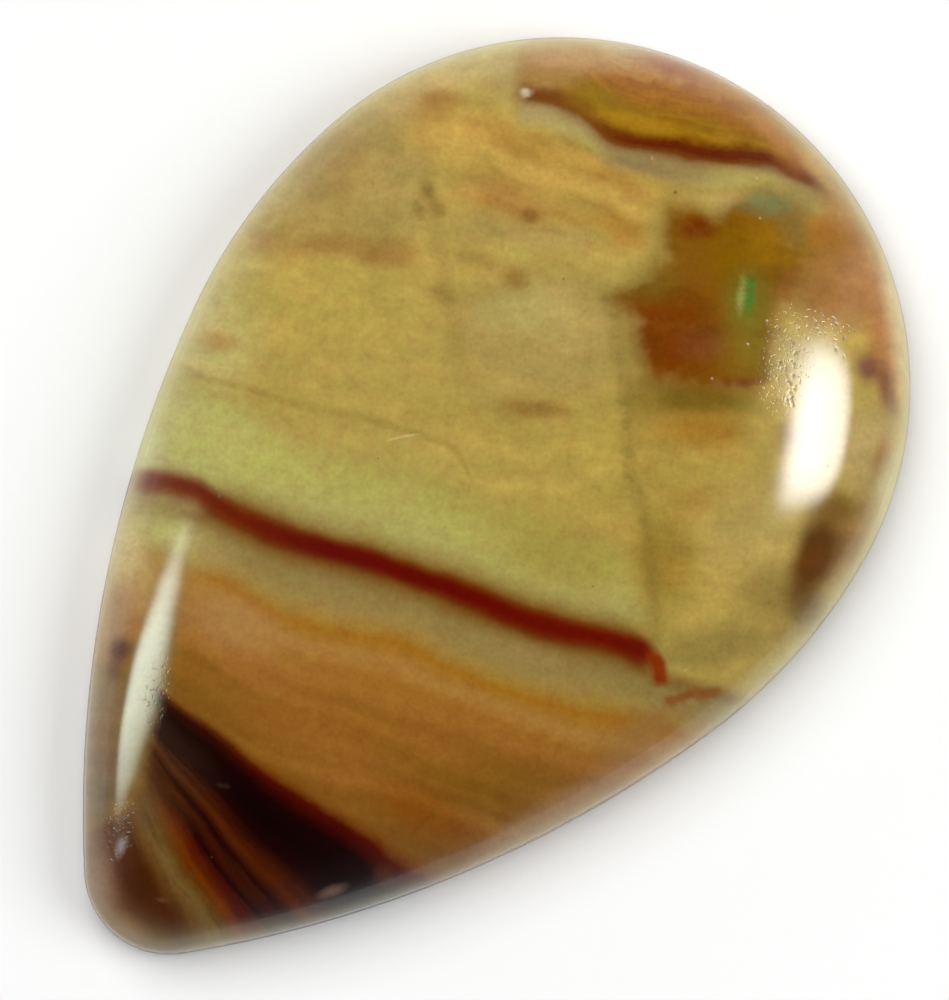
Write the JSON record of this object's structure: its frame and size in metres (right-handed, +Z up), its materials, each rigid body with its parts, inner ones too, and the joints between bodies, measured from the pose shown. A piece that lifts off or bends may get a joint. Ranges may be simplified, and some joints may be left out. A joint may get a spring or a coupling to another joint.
{
  "type": "jasper cabochon",
  "caption": "Polished pear-shaped jasper cabochon with a low dome and a flat back, for setting in a bezel or glueing to a mount.",
  "frame": {"origin": "middle of the flat back, under the middle of the outline's box", "axes": "+Y along the stone from the pointed end to the round end, +Z up through the dome, +X across"},
  "size_m": [0.024, 0.036, 0.0056],
  "materials": {
    "jasper": "high polish on the dome, satin ground back"
  },
  "bodies": {
    "root": {"cabochon": "jasper"}
  },
  "joints": []
}
